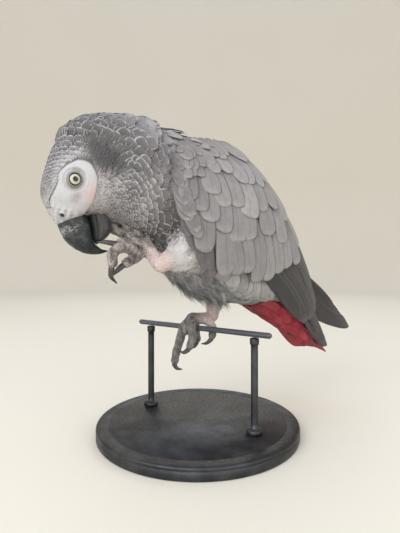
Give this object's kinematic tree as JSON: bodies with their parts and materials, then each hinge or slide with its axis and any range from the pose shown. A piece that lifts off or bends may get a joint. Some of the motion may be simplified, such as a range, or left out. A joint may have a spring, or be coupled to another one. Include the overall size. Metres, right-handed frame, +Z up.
{
  "type": "grey parrot on a display stand",
  "caption": "Life-size still model of a grey parrot perched on a wire on one foot, the other foot raised to its open bill, neck arched, wings folded, red tail, on a disc stand.",
  "frame": {"origin": "middle of the display disc's underside", "axes": "+Z up; the parrot faces -Y and its left side is +X; the perch wire is turned 16 degrees about +Z from +X"},
  "size_m": [0.156, 0.3125, 0.2268],
  "materials": {
    "plumage_grey": "matt grey body feathers, dark grey with pale rims on neck and crown, bare white face",
    "wing_grey": "matt mid grey wing coverts and secondaries in rows",
    "flight_grey": "near-black flight feathers with a faint sheen",
    "tail_red": "crimson tail feathers with darker streaks",
    "bill_horn": "black horn bill, half gloss, with pale flaking and a pale grey cere",
    "claw_horn": "dark grey curved claws, half gloss",
    "foot_scale": "grey-brown scaled skin with brown soles",
    "eye": "clear domed eye with a pale yellow iris and a black pupil",
    "perch_wire": "dark grey hammered enamel on steel wire",
    "stand_metal": "satin dark grey powder coat on steel"
  },
  "bodies": {
    "root": {"bill_lower": "bill_horn", "bill_upper": "bill_horn", "claw_left_1": "claw_horn", "claw_left_2": "claw_horn", "claw_left_3": "claw_horn", "claw_left_4": "claw_horn", "claw_right_1": "claw_horn", "claw_right_2": "claw_horn", "claw_right_3": "claw_horn", "claw_right_4": "claw_horn", "eye_left": "eye", "eye_right": "eye", "foot_left": "foot_scale", "foot_right": "foot_scale", "head": "plumage_grey", "neck": "plumage_grey", "perch_wire": "perch_wire", "primaries_left": "flight_grey", "primaries_right": "flight_grey", "stand_base": "stand_metal", "stand_rod_1": "stand_metal", "stand_rod_2": "stand_metal", "tail": "tail_red", "thigh_left": "plumage_grey", "thigh_right": "plumage_grey", "trunk": "plumage_grey", "wing_left": "wing_grey", "wing_right": "wing_grey"}
  },
  "joints": []
}
